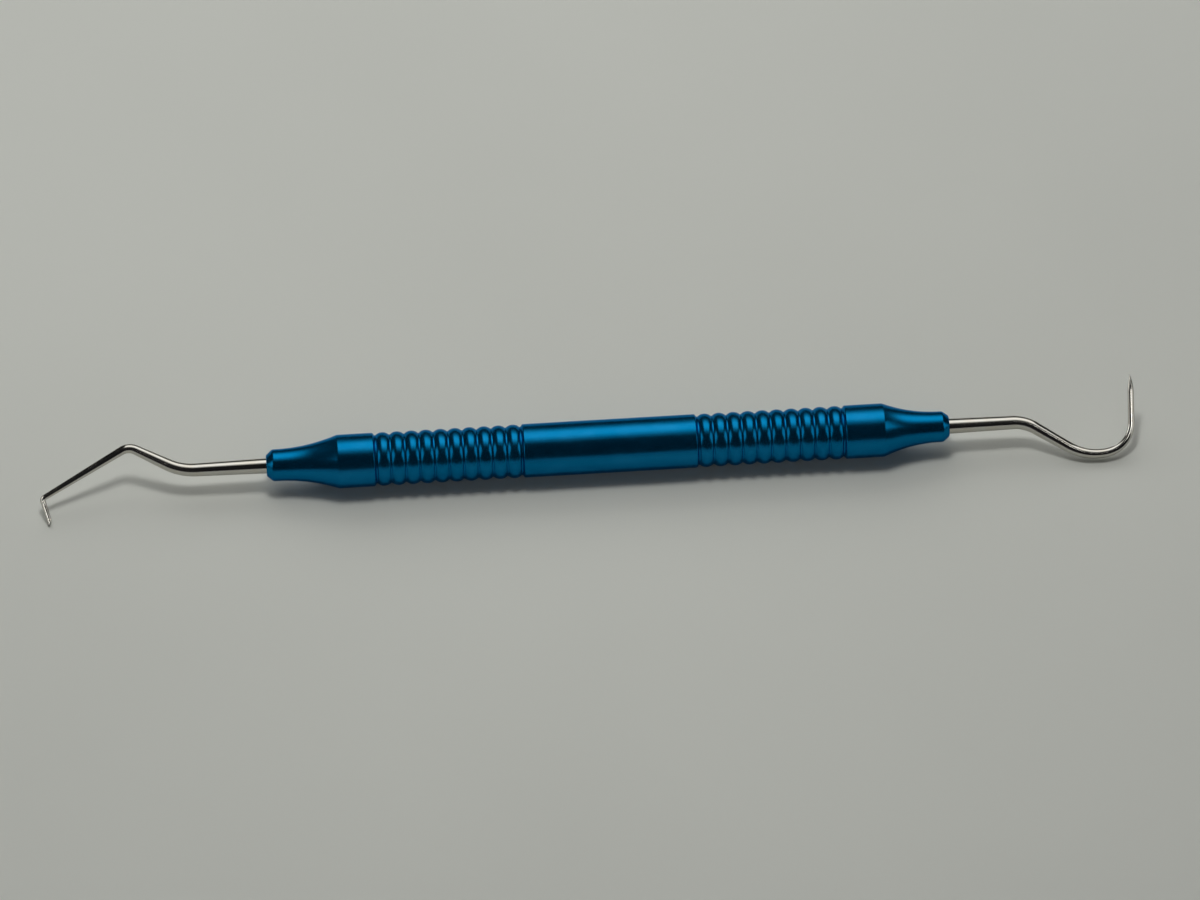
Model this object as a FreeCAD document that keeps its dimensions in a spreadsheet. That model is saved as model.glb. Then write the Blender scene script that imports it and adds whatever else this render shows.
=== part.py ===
"""Double-ended hand scaler: a ribbed tube handle with a screw-in cone and a steel tip at each end.

Frame: the origin is on the handle's axis at the middle of its plain centre. +X runs along the
handle to the sickle end, +Z is up. The scaler lies on a surface at z = -handle_radius, on the
handle and on the end of the angled blade. Lengths are in millimetres, angles in degrees.
"""
import FreeCAD, Part
import math
import os

import Sketcher
from FreeCAD import Placement, Rotation, Vector

SIZES = [
    # handle tube
    ("handle_radius", 4.0, "plain centre, rib crests and collars"),
    ("valley_radius", 3.6, "floor of the grooves between ribs"),
    ("rib_pitch", 2.166, "crest to crest along the handle"),
    ("rib_count", 10, "rounded crests in one grip"),
    ("floor_width", 0.16, "flat floor of one groove"),
    ("first_valley", 13.26, "handle middle to the first groove of a grip"),
    ("edge_rise", 0.31, "axial length of the bevel beside a grip"),
    ("rib_foot", 0.3, "how far a crest's outline reaches down into the tube wall"),
    ("bore_radius", 2.1, "tapping-drill bore right through the tube"),
    ("thread_radius", 2.525, "tapped stretch at each end of the tube"),
    ("tapped_length", 9.0, "depth of the tapped stretch"),
    ("seal_seat_radius", 2.8, "counterbore for the seal ring"),
    ("seal_seat_depth", 1.0, "depth of that counterbore"),
    # screw-in cones
    ("spigot_radius", 2.475, "over the thread on a cone's spigot"),
    ("spigot_length", 7.4, "spigot inside the tube"),
    ("relief_radius", 2.0, "neck under the shoulder, where the seal ring sits"),
    ("relief_length", 1.0, "length of that neck"),
    ("spigot_bevel", 0.4, "lead-in on the spigot's end"),
    ("tang_length", 14.0, "length of shank pressed in a cone"),
    ("tang_radius", 1.15, "shank where it is pressed in"),
    ("nose_face_radius", 1.55, "flat face at the end of the nose"),
    ("nose_bevel", 0.95, "axial length of the nose's end bevel"),
    ("nose_land", 0.55, "straight stretch before that bevel"),
    ("angled_collar", 5.68, "shoulder to the start of the flare, angled end"),
    ("angled_flare", 9.2, "length of the hollow flare, angled end"),
    ("angled_nose_radius", 2.38, "nose at the end of the flare, angled end"),
    ("sickle_collar", 6.08, "shoulder to the start of the flare, sickle end"),
    ("sickle_flare", 8.4, "length of the hollow flare, sickle end"),
    ("sickle_nose_radius", 2.3, "nose at the end of the flare, sickle end"),
    # seal rings
    ("seal_ring_radius", 2.4, "middle of the ring's section"),
    ("seal_section_radius", 0.35, "radius of the ring's round section"),
    # slope of the plane in which both tips are bent, as the scaler lies
    ("lie_angle", 32.35, "slope of the plane of both tips"),
    # angled tip
    ("angled_shank", 10.49, "straight shank out of the nose"),
    ("angled_turn1", 28.3, "first turn, away from the surface"),
    ("angled_bend1", 9.0, "radius of the first bend"),
    ("angled_rise", 5.09, "straight stretch after the first bend"),
    ("angled_turn2", 56.5, "second turn, back across the axis"),
    ("angled_bend2", 2.3, "radius of the second bend"),
    ("angled_arm", 13.31, "straight arm"),
    ("angled_turn3", 77.0, "turn from the arm to the blade"),
    ("angled_bend3", 0.55, "radius at the root of the blade"),
    ("angled_blade", 3.8, "straight blade"),
    ("angled_shank_end", 0.99, "rod radius at the first bend"),
    ("angled_rise_start", 0.91, "rod radius after the first bend"),
    ("angled_rise_end", 0.73, "rod radius at the second bend"),
    ("angled_arm_start", 0.65, "rod radius after the second bend"),
    ("angled_arm_end", 0.42, "rod radius at the root of the blade"),
    ("angled_blade_start", 0.42, "rod radius below the root of the blade"),
    ("angled_blade_end", 0.38, "rod radius at the blade's end"),
    ("angled_bevel", 50.0, "slope of the bevel ground on the inner side of the blade's end"),
    # sickle tip
    ("sickle_shank", 9.6, "straight shank out of the nose"),
    ("sickle_turn1", 33.4, "first turn, towards the surface"),
    ("sickle_bend1", 6.0, "radius of the first bend"),
    ("sickle_slope", 5.64, "straight slope after the first bend"),
    ("sickle_turn2", 43.0, "turn in the wide part of the hook"),
    ("sickle_bend2", 8.19, "radius of the wide part of the hook"),
    ("sickle_turn3", 77.3, "turn in the close part of the hook"),
    ("sickle_bend3", 4.63, "radius of the close part of the hook"),
    ("sickle_blade", 5.5, "straight blade after the hook"),
    ("sickle_point", 1.7, "pointed end of the blade"),
    ("sickle_shank_end", 1.02, "rod radius at the first bend"),
    ("sickle_slope_start", 0.93, "rod radius after the first bend"),
    ("sickle_slope_end", 0.82, "rod radius at the wide part of the hook"),
    ("sickle_hook_middle", 0.67, "rod radius between the two parts of the hook"),
    ("sickle_blade_start", 0.56, "rod radius at the start of the blade"),
    ("sickle_point_start", 0.5, "rod radius at the start of the point"),
    ("sickle_point_end", 0.04, "rod radius at the very point"),
    ("sickle_face_depth", 0.12, "how deep the flat face is ground into the blade"),
    # cutting block for the ground flats
    ("grinding_block", 8.0, "side of the block that cuts a flat"),
]
FULL_TURN = 360
HALF_TURN = 180
QUARTER_TURN = 90
X_AXIS, Y_AXIS, Z_AXIS = Vector(1, 0, 0), Vector(0, 1, 0), Vector(0, 0, 1)


def make_sheet(doc):
    """Write the driving dimensions into a spreadsheet, one alias a row."""
    sheet = doc.addObject("Spreadsheet::Sheet", "Sizes")
    for row, (alias, value, note) in enumerate(SIZES, start=1):
        sheet.set(f"A{row}", note)
        sheet.set(f"B{row}", str(value))
        sheet.setAlias(f"B{row}", alias)
    doc.recompute()
    return sheet


def value_of(sheet, expression):
    """Work out an expression of the sheet's aliases as a plain number."""
    return float(sheet.evalExpression(expression))


def bound(expression):
    """Write an expression of aliases the way another object refers to them."""
    words = sorted((alias for alias, _, _ in SIZES), key=len, reverse=True)
    for number, word in enumerate(words):
        expression = expression.replace(word, f"<{number}>")
    for number, word in enumerate(words):
        expression = expression.replace(f"<{number}>", f"Sizes.{word}")
    return expression


def add_driven(sketch, constraint, name, expression):
    """Add one dimension to a sketch and bind it to the sheet."""
    index = sketch.addConstraint(constraint)
    sketch.renameConstraint(index, name)
    sketch.setExpression(f"Constraints.{name}", bound(expression))


def origin_plane(body, role):
    """Find one of a body's own origin planes by its role."""
    return next(item for item in body.Origin.OriginFeatures if item.Role == role)


def body_sketch(body, name, role):
    """Start a sketch on one of a body's origin planes."""
    sketch = body.newObject("Sketcher::SketchObject", name)
    sketch.AttachmentSupport = [(origin_plane(body, role), "")]
    sketch.MapMode = "FlatFace"
    return sketch


def draw_outline(sheet, sketch, corners, arcs=()):
    """Draw a closed outline through corners given as expressions of the sheet.

    arcs holds (index of the side, radius expression, bulge), where bulge is +1 for a side that
    bows out from the sketch's horizontal axis and -1 for one that bows in.
    """
    points = [Vector(value_of(sheet, x), value_of(sheet, y), 0) for x, y in corners]
    rounded = {index: (radius, bulge) for index, radius, bulge in arcs}
    count = len(points)
    for index, start in enumerate(points):
        end = points[(index + 1) % count]
        if index in rounded:
            radius, bulge = rounded[index]
            sketch.addGeometry(arc_between(start, end, value_of(sheet, radius), bulge))
        else:
            sketch.addGeometry(Part.LineSegment(start, end))
    ends = [path_ends(sketch, index, start) for index, start in enumerate(points)]
    for index, (x, y) in enumerate(corners):
        after = (index + 1) % count
        sketch.addConstraint(
            Sketcher.Constraint("Coincident", index, ends[index][1], after, ends[after][0])
        )
        place_point(sketch, index, ends[index][0], x, y, points[index])
        if index in rounded:
            radius = rounded[index][0]
            add_driven(sketch, Sketcher.Constraint("Radius", index, value_of(sheet, radius)),
                       f"radius{index}", radius)


def arc_between(start, end, radius, bulge):
    """The short arc of a given radius from start to end, bowed up (+1) or down (-1)."""
    chord = end - start
    middle = (start + end) * 0.5
    across = Vector(-chord.y, chord.x, 0).normalize()
    if across.y < 0:
        across = -across
    reach = math.sqrt(radius**2 - (chord.Length / 2)**2)
    return short_arc(middle - across * reach * bulge, start, end)


def short_arc(centre, start, end):
    """The arc of less than half a turn about a centre, drawn anticlockwise as sketches keep it."""
    first, second = start - centre, end - centre
    if first.cross(second).z < 0:
        first, second = second, first
    angles = [math.atan2(arm.y, arm.x) for arm in (first, second)]
    if angles[1] < angles[0]:
        angles[1] += 2 * math.pi
    return Part.ArcOfCircle(Part.Circle(centre, Z_AXIS, first.Length), *angles)


def path_ends(sketch, index, start):
    """Which of a side's two ends is its start on the way round, and which its end."""
    side = sketch.Geometry[index]
    if side.StartPoint.distanceToPoint(start) < side.EndPoint.distanceToPoint(start):
        return 1, 2
    return 2, 1


def place_point(sketch, index, end, x, y, place):
    """Hold one corner at (x, y), which are expressions, or "0" for a place on an axis."""
    across = Sketcher.Constraint("DistanceX", -1, 1, index, end, place.x)
    up = Sketcher.Constraint("DistanceY", -1, 1, index, end, place.y)
    if x == "0":
        sketch.addConstraint(Sketcher.Constraint("PointOnObject", index, end, -2))
    else:
        add_driven(sketch, across, f"x{index}", x)
    if y == "0":
        sketch.addConstraint(Sketcher.Constraint("PointOnObject", index, end, -1))
    else:
        add_driven(sketch, up, f"y{index}", y)


def revolve(doc, body, sketch, name):
    """Turn an outline right round the handle's axis."""
    feature = body.newObject("PartDesign::Revolution", name)
    feature.Profile = sketch
    feature.ReferenceAxis = (sketch, ["H_Axis"])
    feature.Angle = FULL_TURN
    doc.recompute()
    return feature


def make_barrel(doc, sheet):
    """The handle tube: bore and tapped ends, plain centre and a ribbed grip each side of it."""
    body = doc.addObject("PartDesign::Body", "barrel")
    half = "(first_valley + rib_pitch * rib_count)"
    sketch = body_sketch(body, "tube_outline", "XY_Plane")
    draw_outline(sheet, sketch, [
        (f"-{half}", "seal_seat_radius"),
        (f"-{half}", "valley_radius"),
        ("-first_valley + floor_width / 2", "valley_radius"),
        ("-first_valley + floor_width / 2 + edge_rise", "handle_radius"),
        ("first_valley - floor_width / 2 - edge_rise", "handle_radius"),
        ("first_valley - floor_width / 2", "valley_radius"),
        (half, "valley_radius"),
        (half, "seal_seat_radius"),
        (f"{half} - seal_seat_depth", "seal_seat_radius"),
        (f"{half} - seal_seat_depth", "thread_radius"),
        (f"{half} - tapped_length", "thread_radius"),
        (f"{half} - tapped_length", "bore_radius"),
        (f"-{half} + tapped_length", "bore_radius"),
        (f"-{half} + tapped_length", "thread_radius"),
        (f"-{half} + seal_seat_depth", "thread_radius"),
        (f"-{half} + seal_seat_depth", "seal_seat_radius"),
    ])
    revolve(doc, body, sketch, "tube")
    for side, word in ((1, "right"), (-1, "left")):
        add_grip(doc, sheet, body, side, word)
    return body


def add_grip(doc, sheet, body, side, word):
    """One ribbed grip: a rounded crest beside the plain centre, repeated along the tube."""
    width = "(rib_pitch - floor_width)"
    rise = "(handle_radius - valley_radius)"
    sign = "" if side > 0 else "-"
    inner = f"{sign}(first_valley + floor_width / 2)"
    outer = f"{sign}(first_valley + floor_width / 2 + {width})"
    sketch = body_sketch(body, f"{word}_crest_outline", "XY_Plane")
    draw_outline(sheet, sketch, [
        (inner, "valley_radius - rib_foot"),
        (inner, "valley_radius"),
        (outer, "valley_radius"),
        (outer, "valley_radius - rib_foot"),
    ], arcs=[(1, f"({width}^2 / 4 + {rise}^2) / (2 * {rise})", 1)])
    crest = revolve(doc, body, sketch, f"{word}_crest")
    ribs = body.newObject("PartDesign::LinearPattern", f"{word}_ribs")
    ribs.Originals = [crest]
    ribs.Direction = (sketch, ["H_Axis"])
    ribs.Reversed = side < 0
    ribs.setExpression("Length", bound("rib_pitch * (rib_count - 1)"))
    ribs.setExpression("Occurrences", bound("rib_count"))
    body.Tip = ribs
    doc.recompute()


def make_cone(doc, sheet, end, placement):
    """One screw-in cone: threaded spigot, collar, hollow flare and bevelled nose, one turning.

    Its own x runs outwards from the inner end of the spigot.
    """
    body = doc.addObject("PartDesign::Body", f"{end}_end_cone")
    nose = f"{end}_nose_radius"
    flare_start = f"spigot_length + {end}_collar"
    flare_end = f"{flare_start} + {end}_flare"
    face = f"{flare_end} + nose_land + nose_bevel"
    drop = f"(handle_radius - {nose})"
    sketch = body_sketch(body, f"{end}_cone_outline", "XY_Plane")
    draw_outline(sheet, sketch, [
        ("0", "0"),
        ("0", "spigot_radius - spigot_bevel"),
        ("spigot_bevel", "spigot_radius"),
        ("spigot_length - relief_length", "spigot_radius"),
        ("spigot_length - relief_length", "relief_radius"),
        ("spigot_length", "relief_radius"),
        ("spigot_length", "valley_radius"),
        ("spigot_length + floor_width / 2", "valley_radius"),
        ("spigot_length + floor_width / 2 + edge_rise", "handle_radius"),
        (flare_start, "handle_radius"),
        (flare_end, nose),
        (f"{flare_end} + nose_land", nose),
        (face, "nose_face_radius"),
        (face, "tang_radius"),
        (f"{face} - tang_length", "tang_radius"),
        (f"{face} - tang_length", "0"),
    ], arcs=[(9, f"({end}_flare^2 + {drop}^2) / (2 * {drop})", -1)])
    revolve(doc, body, sketch, f"{end}_cone_turning")
    body.Placement = placement
    return body


def make_seal(doc, end, placement):
    """One rubber ring on the neck of a cone's spigot."""
    ring = doc.addObject("Part::Torus", f"{end}_end_seal")
    ring.setExpression("Radius1", bound("seal_ring_radius"))
    ring.setExpression("Radius2", bound("seal_section_radius"))
    ring.Placement = placement
    return ring


def draw_spine(sheet, sketch, runs):
    """Draw a rod's centre line: straights and tangent arcs one after another, from the tang.

    runs holds ("line", length) and ("arc", radius, turn, side), side +1 for a turn to the left.
    """
    place = Vector(-value_of(sheet, "tang_length"), 0, 0)
    heading = 0.0
    ends = []
    for index, run in enumerate(runs):
        along = Vector(math.cos(heading), math.sin(heading), 0)
        left = Vector(-along.y, along.x, 0)
        if run[0] == "line":
            finish = place + along * value_of(sheet, run[1])
            sketch.addGeometry(Part.LineSegment(place, finish))
            ends.append((1, 2))
        else:
            radius, turn, side = value_of(sheet, run[1]), math.radians(value_of(sheet, run[2])), run[3]
            centre = place + left * radius * side
            heading += turn * side
            swing = Rotation(Z_AXIS, math.degrees(turn * side))
            finish = centre + swing.multVec(place - centre)
            sketch.addGeometry(short_arc(centre, place, finish))
            ends.append((1, 2) if side > 0 else (2, 1))
        place = finish
    constrain_spine(sheet, sketch, runs, ends)


def constrain_spine(sheet, sketch, runs, ends):
    """Hold a centre line's lengths, radii and turns to the sheet, each run tangent to the last."""
    start = Sketcher.Constraint("DistanceX", -1, 1, 0, 1, -value_of(sheet, "tang_length"))
    add_driven(sketch, start, "tang_start", "-tang_length")
    sketch.addConstraint(Sketcher.Constraint("PointOnObject", 0, 1, -1))
    sketch.addConstraint(Sketcher.Constraint("Horizontal", 0))
    for index, run in enumerate(runs):
        if run[0] == "line":
            add_driven(sketch, Sketcher.Constraint("Distance", index, value_of(sheet, run[1])),
                       f"length{index}", run[1])
        else:
            add_driven(sketch, Sketcher.Constraint("Radius", index, value_of(sheet, run[1])),
                       f"radius{index}", run[1])
            turn = math.radians(value_of(sheet, run[2]))
            add_driven(sketch, Sketcher.Constraint("Angle", index, turn), f"turn{index}",
                       f"{run[2]} * 1deg")
        if index:
            sketch.addConstraint(Sketcher.Constraint(
                "Tangent", index - 1, ends[index - 1][1], index, ends[index][0]))


def sweep_rod(doc, sheet, end, runs, radii):
    """Sweep round sections, one at each end of each straight, along a bent centre line."""
    sketch = doc.addObject("Sketcher::SketchObject", f"{end}_centre_line")
    draw_spine(sheet, sketch, runs)
    doc.recompute()
    edges = [f"Edge{index + 1}" for index in range(len(runs))]
    sections = []
    for number, (index, parameter, radius) in enumerate(radii):
        circle = doc.addObject("Part::Circle", f"{end}_section{number}")
        circle.AttachmentSupport = [(sketch, edges[index])]
        circle.MapMode = "NormalToEdge"
        circle.MapPathParameter = parameter
        circle.setExpression("Radius", bound(radius))
        sections.append(circle)
    doc.recompute()
    rod = doc.addObject("Part::Sweep", f"{end}_rod")
    rod.Sections = sections
    rod.Spine = (sketch, edges)
    rod.Solid = True
    rod.Frenet = False
    doc.recompute()
    return rod, sketch


def grind(doc, rod, end, corner, slope, finished):
    """Cut one flat on a rod with a block turned by slope, and place the finished tip."""
    block = doc.addObject("Part::Box", f"{end}_grinding_block")
    for side in ("Length", "Width", "Height"):
        block.setExpression(side, bound("grinding_block"))
    block.Placement = Placement(corner, slope)
    tip = doc.addObject("Part::Cut", f"{end}_tip")
    tip.Base = rod
    tip.Tool = block
    tip.Placement = finished
    doc.recompute()
    if tip.Shape.Volume >= rod.Shape.Volume:
        raise RuntimeError(f"the block cuts nothing off the {end} tip")
    return tip


def make_angled_tip(doc, sheet, placement):
    """The angled working end: tapering shank, two bends, straight arm and a short blade."""
    runs = [
        ("line", "tang_length"),
        ("line", "angled_shank"),
        ("arc", "angled_bend1", "angled_turn1", 1),
        ("line", "angled_rise"),
        ("arc", "angled_bend2", "angled_turn2", -1),
        ("line", "angled_arm"),
        ("arc", "angled_bend3", "angled_turn3", -1),
        ("line", "angled_blade"),
    ]
    radii = [
        (0, 0.0, "tang_radius"),
        (1, 0.0, "tang_radius"),
        (1, 1.0, "angled_shank_end"),
        (3, 0.0, "angled_rise_start"),
        (3, 1.0, "angled_rise_end"),
        (5, 0.0, "angled_arm_start"),
        (5, 1.0, "angled_arm_end"),
        (7, 0.0, "angled_blade_start"),
        (7, 1.0, "angled_blade_end"),
    ]
    rod, sketch = sweep_rod(doc, sheet, "angled", runs, radii)
    blade = sketch.Shape.Edges[-1]
    end = blade.valueAt(blade.LastParameter)
    along = blade.tangentAt(blade.LastParameter)
    outward = Vector(-along.y, along.x, 0)
    heel = end + outward * value_of(sheet, "angled_blade_end")
    heading = math.degrees(math.atan2(along.y, along.x))
    slope = Rotation(Z_AXIS, heading - value_of(sheet, "angled_bevel"))
    reach = value_of(sheet, "grinding_block") / 2
    corner = heel + slope.multVec(Vector(0, -reach, -reach))
    return grind(doc, rod, "angled", corner, slope, placement)


def make_sickle_tip(doc, sheet, placement):
    """The sickle working end: tapering shank, one bend, then a hook with a pointed blade."""
    runs = [
        ("line", "tang_length"),
        ("line", "sickle_shank"),
        ("arc", "sickle_bend1", "sickle_turn1", -1),
        ("line", "sickle_slope"),
        ("arc", "sickle_bend2", "sickle_turn2", 1),
        ("arc", "sickle_bend3", "sickle_turn3", 1),
        ("line", "sickle_blade"),
        ("line", "sickle_point"),
    ]
    radii = [
        (0, 0.0, "tang_radius"),
        (1, 0.0, "tang_radius"),
        (1, 1.0, "sickle_shank_end"),
        (3, 0.0, "sickle_slope_start"),
        (3, 1.0, "sickle_slope_end"),
        (5, 0.0, "sickle_hook_middle"),
        (6, 0.0, "sickle_blade_start"),
        (7, 0.0, "sickle_point_start"),
        (7, 1.0, "sickle_point_end"),
    ]
    rod, sketch = sweep_rod(doc, sheet, "sickle", runs, radii)
    blade = sketch.Shape.Edges[-2]
    start = blade.valueAt(blade.FirstParameter)
    along = blade.tangentAt(blade.FirstParameter)
    inward = Vector(-along.y, along.x, 0)
    depth = value_of(sheet, "sickle_blade_start") - value_of(sheet, "sickle_face_depth")
    slope = Rotation(Z_AXIS, math.degrees(math.atan2(inward.y, inward.x)))
    reach = value_of(sheet, "grinding_block")
    corner = start + inward * depth + slope.multVec(Vector(0, -reach, -reach / 2))
    return grind(doc, rod, "sickle", corner, slope, placement)


def check(doc, pieces):
    """Stop if anything in the document failed or a piece is not one sound solid."""
    for item in doc.Objects:
        if "Invalid" in item.State or "Error" in item.State:
            raise RuntimeError(f"{item.Label} failed: {item.State}")
    for piece in pieces:
        shape = piece.Shape
        if shape.isNull() or not shape.isValid() or len(shape.Solids) != 1:
            raise RuntimeError(f"{piece.Label} is not one valid solid")
        box = shape.optimalBoundingBox()
        print(f"{piece.Label}: {shape.Volume:.2f} mm3, x {box.XMin:.2f} to {box.XMax:.2f}, "
              f"y {box.YMin:.2f} to {box.YMax:.2f}, z {box.ZMin:.3f} to {box.ZMax:.3f}")


def main():
    doc = FreeCAD.newDocument("hand_scaler")
    sheet = make_sheet(doc)
    half = value_of(sheet, "first_valley + rib_pitch * rib_count")
    spigot = value_of(sheet, "spigot_length")
    seal = half - value_of(sheet, "relief_length / 2")
    lie = Rotation(X_AXIS, value_of(sheet, "lie_angle"))
    turned = Rotation(Y_AXIS, HALF_TURN)
    across = Rotation(Y_AXIS, QUARTER_TURN)
    pieces = [make_barrel(doc, sheet)]
    for end, side, facing in (("angled", -1, turned), ("sickle", 1, Rotation())):
        face = value_of(sheet, f"{end}_collar + {end}_flare + nose_land + nose_bevel") + half
        pieces.append(make_cone(doc, sheet, end,
                                Placement(Vector(side * (half - spigot), 0, 0), facing)))
        pieces.append(make_seal(doc, end, Placement(Vector(side * seal, 0, 0), across)))
        make_tip = make_sickle_tip if side > 0 else make_angled_tip
        pieces.append(make_tip(doc, sheet,
                               Placement(Vector(side * face, 0, 0), lie.multiply(facing))))
    doc.recompute()
    check(doc, pieces)
    os.makedirs("parts", exist_ok=True)
    for piece in pieces:
        piece.Shape.exportStep(f"parts/{piece.Label}.step")


main()
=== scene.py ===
"""Looks of a double-ended hand scaler, laid out as an add-on and run as a script.

Lengths are in metres. +X runs along the handle to the sickle end, +Z is up.
"""
import math

import bmesh
import bpy
from bpy.props import FloatProperty, FloatVectorProperty, IntProperty, PointerProperty
from bpy.types import Operator, Panel, PropertyGroup
from mathutils import Matrix, Vector


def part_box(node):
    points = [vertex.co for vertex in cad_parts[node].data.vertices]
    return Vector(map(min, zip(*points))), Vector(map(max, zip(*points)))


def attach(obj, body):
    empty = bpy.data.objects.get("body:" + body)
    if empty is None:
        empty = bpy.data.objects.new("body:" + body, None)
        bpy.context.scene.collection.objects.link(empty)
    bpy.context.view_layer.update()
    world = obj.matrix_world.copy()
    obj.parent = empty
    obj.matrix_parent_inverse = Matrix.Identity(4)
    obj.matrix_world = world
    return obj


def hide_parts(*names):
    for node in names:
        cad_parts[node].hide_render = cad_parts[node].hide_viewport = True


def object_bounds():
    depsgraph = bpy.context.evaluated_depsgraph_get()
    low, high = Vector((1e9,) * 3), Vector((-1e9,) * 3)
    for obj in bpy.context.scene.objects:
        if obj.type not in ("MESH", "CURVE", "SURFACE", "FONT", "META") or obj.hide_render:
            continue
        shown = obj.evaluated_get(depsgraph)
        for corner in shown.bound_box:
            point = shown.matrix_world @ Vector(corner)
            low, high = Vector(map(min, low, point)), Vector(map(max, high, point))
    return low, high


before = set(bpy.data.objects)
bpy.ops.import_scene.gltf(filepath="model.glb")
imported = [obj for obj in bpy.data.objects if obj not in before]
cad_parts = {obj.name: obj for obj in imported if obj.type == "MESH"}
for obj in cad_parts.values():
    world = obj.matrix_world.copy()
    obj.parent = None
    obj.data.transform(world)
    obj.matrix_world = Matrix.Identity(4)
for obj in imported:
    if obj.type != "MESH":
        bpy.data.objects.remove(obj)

bl_info = {
    "name": "Hand Scaler",
    "version": (1, 0, 0),
    "blender": (4, 5, 0),
    "location": "View3D > Sidebar > Scaler",
    "description": "Builds a ribbed double-ended hand scaler and its studio",
    "category": "Add Mesh",
}

MM = 0.001
CAD_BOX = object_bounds()
BARREL_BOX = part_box("barrel")
ENDS = ("angled", "sickle")
CONE_BOXES = {end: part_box(f"{end}_end_cone") for end in ENDS}
HANDLE_RADIUS = BARREL_BOX[1].z
BARREL_HALF = BARREL_BOX[1].x
SURFACE_Z = CAD_BOX[0].z
MERGE = 1e-7
FACETS_ROUND = 128
ROD_FACETS = 48
RIB_STEPS = 14
STEPS_A_PITCH = 8

# how far each kind of turned edge is rounded along its two sides
CORNER_SHARE = 0.4
CORNER_STEPS = (0, 0.25, 0.5, 0.75, 1)
FLOOR_SOFTNESS = 0.05 * MM
CREST_SOFTNESS = 0.12 * MM
SEAT_SOFTNESS = 0.08 * MM
SHOULDER_SOFTNESS = 0.04 * MM
FLARE_SOFTNESS = 0.3 * MM
NOSE_SOFTNESS = 0.42 * MM
SOCKET_SOFTNESS = 0.03 * MM

# how deep the barrel's thread is cut, as a share of the spigot's thread
TAPPED_SHARE = 0.7

FLARE_STEPS = 28
SEAL_STEPS = 24

# the steel tips: their radii in millimetres out of the nose and at the end of each run,
# their flats as (direction, distance as a share of the radius), and how their ends are ground
ROD_STEP = 0.16 * MM
BEND_STEP = math.radians(4)
ANGLED_RADII = (1.15, 0.99, 0.91, 0.73, 0.65, 0.42, 0.42, 0.38)
SICKLE_RADII = (1.15, 1.02, 0.93, 0.82, 0.67, 0.56, 0.52, 0.04)
TANG_BEVEL = 0.2
BLADE_FLATS = [(math.radians(way), reach) for way, reach in ((0, 0.88), (-90, 0.96), (90, 0.96))]
BLADE_KEENNESS = 20
BLADE_GRIND = 0.5 * MM
BEVEL_SPREAD = 3
END_CROWN = 0.03 * MM
SICKLE_FLATS = [(0, 0.78)]
SICKLE_KEENNESS = 14
SICKLE_GRIND = 0.6 * MM
SICKLE_GRIND_START = 1.0 * MM
POINT_OFFSET = 0.15
POINT_CURVE = 2.4

WEAR_FROM = HANDLE_RADIUS * 0.985
STEEL_WARMTH = (1.0, 0.96, 0.91)
RUBBER_PALE = 2.2
SURFACE_DEEP = 0.96

SURFACE_HALF = 4.0
CLIP = (0.01, 20)
LAMP_SHADE = (1.0, 1.0, 0.97)
ROOM_SHADE = (0.011, 0.011, 0.012)
LAMPS = (
    # name, width and depth, strength, elevation, bearing, distance, shift along X, what it lights:
    # METAL is seen in all the metal, TIPS in the steel tips only, and FLOOR lights the surface only
    ("softbox_core", (0.64, 0.31), 0.54, 62, 0, 0.62, 0.13, "METAL"),
    ("softbox", (0.64, 0.58), 0.66, 62, 0, 0.625, 0.13, "METAL"),
    ("softbox_skirt", (0.68, 0.92), 0.32, 62, 0, 0.63, 0.13, "METAL"),
    ("left_card", (0.35, 0.5), 0.9, 25, -100, 0.7, 0, "METAL"),
    ("right_card", (0.35, 0.5), 0.9, 25, 100, 0.7, 0, "METAL"),
    ("front_card", (1.4, 0.16), 0.35, 5, 184, 0.8, 0, "METAL"),
    ("left_glint", (0.3, 0.3), 2.4, 40, -75, 0.68, 0, "TIPS"),
    ("left_bulb", (0.1, 0.1), 6.0, 51, -140, 0.73, 0, "TIPS"),
    ("right_bulb", (0.12, 0.12), 6.0, 58, 132, 0.7, 0, "TIPS"),
    ("overhead", (0.1, 0.1), 17.0, 80, -13, 0.5, 0, "FLOOR"),
    ("sky", (0.6, 0.85), 0.68, 60, -25, 0.65, 0, "FLOOR"),
    ("back_window", (0.8, 0.4), 0.9, 35, -8, 0.7, 0, "FLOOR"),
    ("front_fill", (0.8, 0.5), 0.25, 35, 180, 0.7, 0, "FLOOR"),
)
SMOOTH_LIMIT = math.radians(40)


# ---------------------------------------------------------------- settings

def length(name, description, millimetres):
    """A length setting, given in millimetres and held in metres."""
    return FloatProperty(name=name, description=description, default=millimetres * MM,
                         unit="LENGTH", precision=5)


def turn(name, description, degrees):
    """An angle setting, given in degrees and held in radians."""
    return FloatProperty(name=name, description=description, default=math.radians(degrees),
                         subtype="ANGLE")


def colour(name, description, *shade):
    """A colour setting."""
    return FloatVectorProperty(name=name, description=description, default=shade,
                               subtype="COLOR", min=0, max=1)


class ScalerHandle(PropertyGroup):
    """Sizes of the turned handle tube."""
    valley_radius: length("Valley radius", "Floor of the grooves between ribs", 3.6)
    rib_pitch: length("Rib pitch", "Crest to crest along the handle", 2.166)
    rib_count: IntProperty(
        name="Rib count", description="Rounded crests in one grip", default=10, min=1)
    floor_width: length("Groove floor", "Flat floor of one groove", 0.16)
    edge_rise: length("Edge bevel", "Length of the bevel beside a grip", 0.31)
    bore_radius: length("Bore radius", "Bore right through the tube", 2.1)
    tapped_radius: length("Tapped radius", "Tapped stretch at each end of the tube", 2.525)
    tapped_length: length("Tapped length", "Depth of the tapped stretch", 9.0)
    seat_radius: length("Seal seat radius", "Counterbore for the seal ring", 2.8)
    seat_depth: length("Seal seat depth", "Depth of that counterbore", 1.0)


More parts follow.
